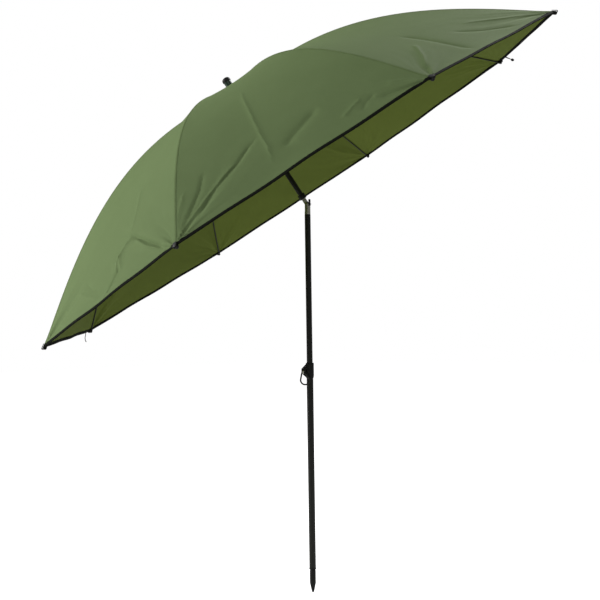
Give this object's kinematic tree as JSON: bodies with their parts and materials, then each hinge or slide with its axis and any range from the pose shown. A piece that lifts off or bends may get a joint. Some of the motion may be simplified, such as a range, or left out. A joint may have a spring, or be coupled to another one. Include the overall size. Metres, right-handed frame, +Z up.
{
  "type": "fishing umbrella",
  "caption": "Ground-spiked umbrella with a telescopic pole, a clamp with a ring screw, a notched tilt joint and a wide domed canopy on folding ribs, leaning to one side.",
  "frame": {"origin": "tip of the ground spike, on the pole's axis", "axes": "+Z up along the pole; the head leans towards -X at rest and tilts about Y; -Y faces the picture's camera"},
  "size_m": [1.7528, 2.0332, 2.1003],
  "materials": {
    "black_paint": "satin",
    "plated_steel": "bright plated",
    "spring_steel": "satin",
    "black_plastic": "matte",
    "green_plastic": "satin",
    "green_cloth": "coated woven cloth",
    "grey_cord": "braided",
    "black_cord": "braided"
  },
  "bodies": {
    "lower_pole": {"outer_pole": "black_paint", "ground_spike": "black_plastic", "spike_pin": "plated_steel", "clamp_collar": "black_plastic", "clamp_nut": "plated_steel"},
    "clamp_screw": {"clamp_screw": "plated_steel"},
    "clamp_ring": {"clamp_ring": "black_paint"},
    "inner_pole": {"inner_pole": "black_paint", "inner_pole_plug": "black_plastic", "tilt_fork": "plated_steel", "fork_cap": "black_plastic", "pivot_rivet": "plated_steel", "tilt_latch": "spring_steel", "fork_pin": "plated_steel"},
    "head": {"upper_pole": "black_paint", "tilt_tongue": "plated_steel", "tongue_pin": "plated_steel", "pole_collar": "black_plastic", "crown_hub": "black_plastic", "crown_wire": "plated_steel", "ferrule": "green_plastic", "ferrule_cap": "black_plastic", "runner_catch": "spring_steel"},
    "runner": {"runner": "black_plastic", "runner_wire": "plated_steel"},
    "rib_1": {"rib_1": "black_paint", "rib_cap_1": "black_plastic", "canopy_1": "green_cloth", "pull_loop": "black_cord", "loop_toggle": "black_plastic"},
    "stretcher_1": {"stretcher_1": "black_paint"},
    "rib_2": {"rib_2": "black_paint", "rib_cap_2": "black_plastic", "canopy_2": "green_cloth"},
    "stretcher_2": {"stretcher_2": "black_paint"},
    "rib_3": {"rib_3": "black_paint", "rib_cap_3": "black_plastic", "canopy_3": "green_cloth"},
    "stretcher_3": {"stretcher_3": "black_paint"},
    "rib_4": {"rib_4": "black_paint", "rib_cap_4": "black_plastic", "canopy_4": "green_cloth", "tie_cord": "grey_cord"},
    "stretcher_4": {"stretcher_4": "black_paint"},
    "rib_5": {"rib_5": "black_paint", "rib_cap_5": "black_plastic", "canopy_5": "green_cloth"},
    "stretcher_5": {"stretcher_5": "black_paint"},
    "rib_6": {"rib_6": "black_paint", "rib_cap_6": "black_plastic", "canopy_6": "green_cloth"},
    "stretcher_6": {"stretcher_6": "black_paint"},
    "rib_7": {"rib_7": "black_paint", "rib_cap_7": "black_plastic", "canopy_7": "green_cloth"},
    "stretcher_7": {"stretcher_7": "black_paint"},
    "rib_8": {"rib_8": "black_paint", "rib_cap_8": "black_plastic", "canopy_8": "green_cloth"},
    "stretcher_8": {"stretcher_8": "black_paint"}
  },
  "joints": [
    {"name": "pole_slide", "type": "slide", "parent": "lower_pole", "child": "inner_pole", "axis": [0, 0, 1], "range_m": [-0.38, 0.2]},
    {"name": "head_tilt", "type": "hinge", "parent": "inner_pole", "child": "head", "pos_m": [0, 0, 1.457], "axis": [0, -1, 0], "range_deg": [-32.4, 16.2], "deforming": ["tilt_latch"]},
    {"name": "runner_slide", "type": "slide", "parent": "head", "child": "runner", "axis": [0.5358, 0, -0.8443], "range_m": [0, 0.22], "deforming": ["canopy_1", "canopy_2", "canopy_3", "canopy_4", "canopy_5", "canopy_6", "canopy_7", "canopy_8", "runner_catch"]},
    {"name": "clamp_screw_turn", "type": "hinge", "parent": "lower_pole", "child": "clamp_screw", "pos_m": [-0.026, 0, 0.8343], "axis": [0, -1, 0], "range_deg": [0, 270]},
    {"name": "clamp_ring_swing", "type": "hinge", "parent": "clamp_screw", "child": "clamp_ring", "pos_m": [-0.026, -0.0188, 0.8343], "axis": [-1, 0, 0], "range_deg": [0, 130]},
    {"name": "rib_1_fold", "type": "hinge", "parent": "head", "child": "rib_1", "pos_m": [-0.25007, 0.00612, 1.87864], "axis": [-0.3231, 0.9239, -0.2051], "range_deg": [0, 22.15]},
    {"name": "rib_2_fold", "type": "hinge", "parent": "head", "child": "rib_2", "pos_m": [-0.25739, 0.01478, 1.874], "axis": [-0.7801, 0.3827, -0.495], "range_deg": [0, 22.15]},
    {"name": "rib_3_fold", "type": "hinge", "parent": "head", "child": "rib_3", "pos_m": [-0.26772, 0.01478, 1.86744], "axis": [-0.7801, -0.3827, -0.495], "range_deg": [0, 22.15]},
    {"name": "rib_4_fold", "type": "hinge", "parent": "head", "child": "rib_4", "pos_m": [-0.27504, 0.00612, 1.8628], "axis": [-0.3231, -0.9239, -0.2051], "range_deg": [0, 22.15]},
    {"name": "rib_5_fold", "type": "hinge", "parent": "head", "child": "rib_5", "pos_m": [-0.27504, -0.00612, 1.8628], "axis": [0.3231, -0.9239, 0.2051], "range_deg": [0, 22.15]},
    {"name": "rib_6_fold", "type": "hinge", "parent": "head", "child": "rib_6", "pos_m": [-0.26772, -0.01478, 1.86744], "axis": [0.7801, -0.3827, 0.495], "range_deg": [0, 22.15]},
    {"name": "rib_7_fold", "type": "hinge", "parent": "head", "child": "rib_7", "pos_m": [-0.25739, -0.01478, 1.874], "axis": [0.7801, 0.3827, 0.495], "range_deg": [0, 22.15]},
    {"name": "rib_8_fold", "type": "hinge", "parent": "head", "child": "rib_8", "pos_m": [-0.25007, -0.00612, 1.87864], "axis": [0.3231, 0.9239, 0.2051], "range_deg": [0, 22.15]},
    {"name": "stretcher_1_rise", "type": "hinge", "parent": "runner", "child": "stretcher_1", "pos_m": [-0.15898, 0.00612, 1.73511], "axis": [0.3231, -0.9239, 0.2051], "range_deg": [0, 12.37]},
    {"name": "stretcher_2_rise", "type": "hinge", "parent": "runner", "child": "stretcher_2", "pos_m": [-0.16629, 0.01478, 1.73047], "axis": [0.7801, -0.3827, 0.495], "range_deg": [0, 12.37]},
    {"name": "stretcher_3_rise", "type": "hinge", "parent": "runner", "child": "stretcher_3", "pos_m": [-0.17663, 0.01478, 1.7239], "axis": [0.7801, 0.3827, 0.495], "range_deg": [0, 12.37]},
    {"name": "stretcher_4_rise", "type": "hinge", "parent": "runner", "child": "stretcher_4", "pos_m": [-0.18395, 0.00612, 1.71926], "axis": [0.3231, 0.9239, 0.2051], "range_deg": [0, 12.37]},
    {"name": "stretcher_5_rise", "type": "hinge", "parent": "runner", "child": "stretcher_5", "pos_m": [-0.18395, -0.00612, 1.71926], "axis": [-0.3231, 0.9239, -0.2051], "range_deg": [0, 12.37]},
    {"name": "stretcher_6_rise", "type": "hinge", "parent": "runner", "child": "stretcher_6", "pos_m": [-0.17663, -0.01478, 1.7239], "axis": [-0.7801, 0.3827, -0.495], "range_deg": [0, 12.37]},
    {"name": "stretcher_7_rise", "type": "hinge", "parent": "runner", "child": "stretcher_7", "pos_m": [-0.16629, -0.01478, 1.73047], "axis": [-0.7801, -0.3827, -0.495], "range_deg": [0, 12.37]},
    {"name": "stretcher_8_rise", "type": "hinge", "parent": "runner", "child": "stretcher_8", "pos_m": [-0.15898, -0.00612, 1.73511], "axis": [-0.3231, -0.9239, -0.2051], "range_deg": [0, 12.37]}
  ],
  "couplings": [
    {"joint": "rib_1_fold", "follows": "runner_slide", "rad_per_m": 1.7563},
    {"joint": "rib_2_fold", "follows": "runner_slide", "rad_per_m": 1.7563},
    {"joint": "rib_3_fold", "follows": "runner_slide", "rad_per_m": 1.7563},
    {"joint": "rib_4_fold", "follows": "runner_slide", "rad_per_m": 1.7563},
    {"joint": "rib_5_fold", "follows": "runner_slide", "rad_per_m": 1.7563},
    {"joint": "rib_6_fold", "follows": "runner_slide", "rad_per_m": 1.7563},
    {"joint": "rib_7_fold", "follows": "runner_slide", "rad_per_m": 1.7563},
    {"joint": "rib_8_fold", "follows": "runner_slide", "rad_per_m": 1.7563},
    {"joint": "stretcher_1_rise", "follows": "runner_slide", "rad_per_m": 0.98077},
    {"joint": "stretcher_2_rise", "follows": "runner_slide", "rad_per_m": 0.98077},
    {"joint": "stretcher_3_rise", "follows": "runner_slide", "rad_per_m": 0.98077},
    {"joint": "stretcher_4_rise", "follows": "runner_slide", "rad_per_m": 0.98077},
    {"joint": "stretcher_5_rise", "follows": "runner_slide", "rad_per_m": 0.98077},
    {"joint": "stretcher_6_rise", "follows": "runner_slide", "rad_per_m": 0.98077},
    {"joint": "stretcher_7_rise", "follows": "runner_slide", "rad_per_m": 0.98077},
    {"joint": "stretcher_8_rise", "follows": "runner_slide", "rad_per_m": 0.98077}
  ]
}
